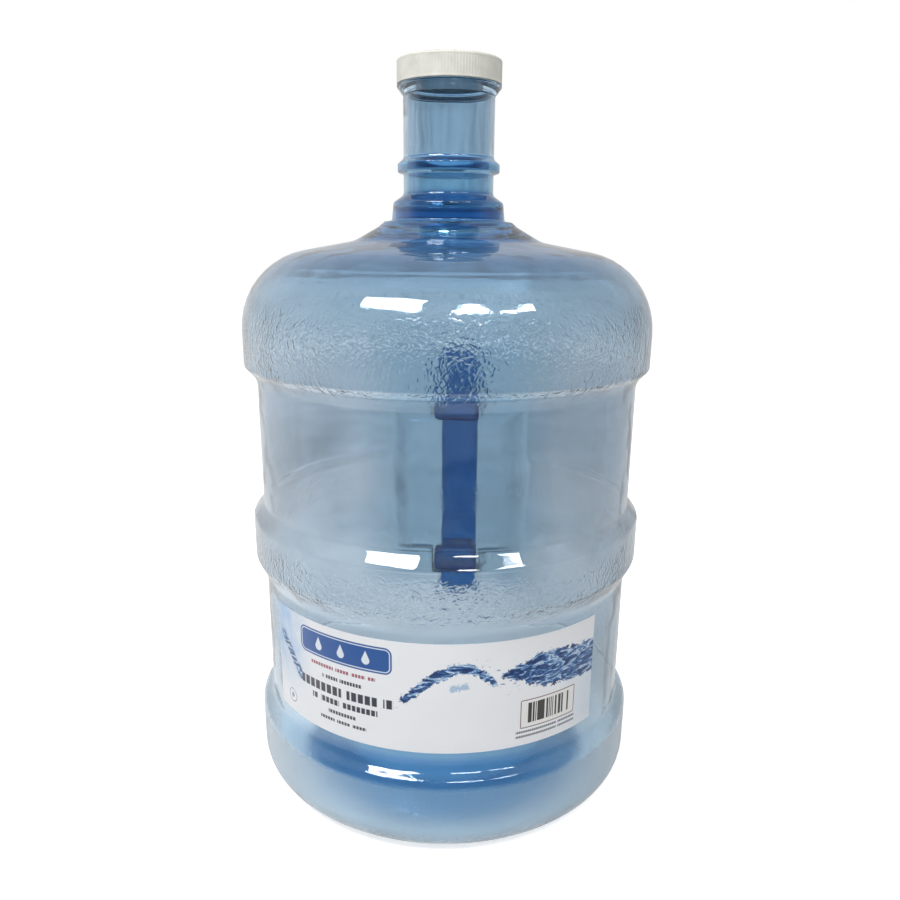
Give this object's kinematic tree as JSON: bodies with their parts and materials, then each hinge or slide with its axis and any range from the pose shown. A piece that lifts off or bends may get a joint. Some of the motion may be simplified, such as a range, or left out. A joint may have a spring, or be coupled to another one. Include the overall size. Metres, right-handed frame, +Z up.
{
  "type": "large water jug",
  "caption": "Large blown water jug with three belts, long banded neck, moulded handle set in a recess at the back, screw cap with foam liner, and a film label on the front.",
  "frame": {"origin": "middle of the base on the bottle's axis, in the plane of the standing ring", "axes": "+Z up the bottle's axis to the cap; -Y out of the middle of the label; +Y out of the handle"},
  "size_m": [0.2306, 0.2306, 0.4094],
  "materials": {
    "bottle_blue": "clear light-blue blown PET, glossy, pebbled on the belts and smooth on the waists",
    "handle_blue": "cloudy mid-blue moulded plastic, satin",
    "cap_white": "off-white moulded polyethylene, satin",
    "liner_foam": "white closed-cell foam, matt",
    "label_film": "printed white film, satin"
  },
  "bodies": {
    "bottle": {"bottle_body": "bottle_blue", "handle_grip": "handle_blue", "front_label": "label_film"},
    "liner": {"cap_liner": "liner_foam"},
    "cap": {"screw_cap": "cap_white"}
  },
  "joints": [
    {"name": "cap_lift", "type": "slide", "parent": "bottle", "child": "liner", "axis": [0, 0, 1], "range_m": [0, 0.008]},
    {"name": "cap_turn", "type": "hinge", "parent": "liner", "child": "cap", "pos_m": [0, 0, 0.402], "axis": [0, 0, 1], "range_deg": [0, 720]}
  ],
  "couplings": [
    {"joint": "cap_lift", "follows": "cap_turn", "m_per_rad": 0.00063662}
  ]
}
